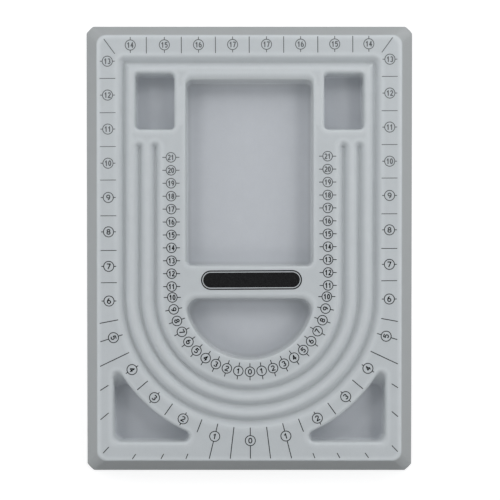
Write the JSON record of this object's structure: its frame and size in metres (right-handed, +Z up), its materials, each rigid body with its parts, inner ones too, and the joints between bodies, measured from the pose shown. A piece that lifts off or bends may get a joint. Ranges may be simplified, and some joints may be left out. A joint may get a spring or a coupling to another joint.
{
  "type": "bead board",
  "caption": "Shallow flocked tray with a sloped skirt, U-shaped channels for laying out strands, wells for loose beads and printed measuring scales.",
  "frame": {"origin": "centre of the rim, on the surface that the board stands on", "axes": "+Z up, +Y towards the end with the square wells, +X to the right with that end away from the viewer"},
  "size_m": [0.2456, 0.3352, 0.019],
  "materials": {
    "formed_sheet": "satin moulded polystyrene",
    "flock": "short matt fibre pile",
    "scale_ink": "matt screen print"
  },
  "bodies": {
    "root": {"tray_shell": "formed_sheet", "flock_layer": "flock"}
  },
  "joints": []
}
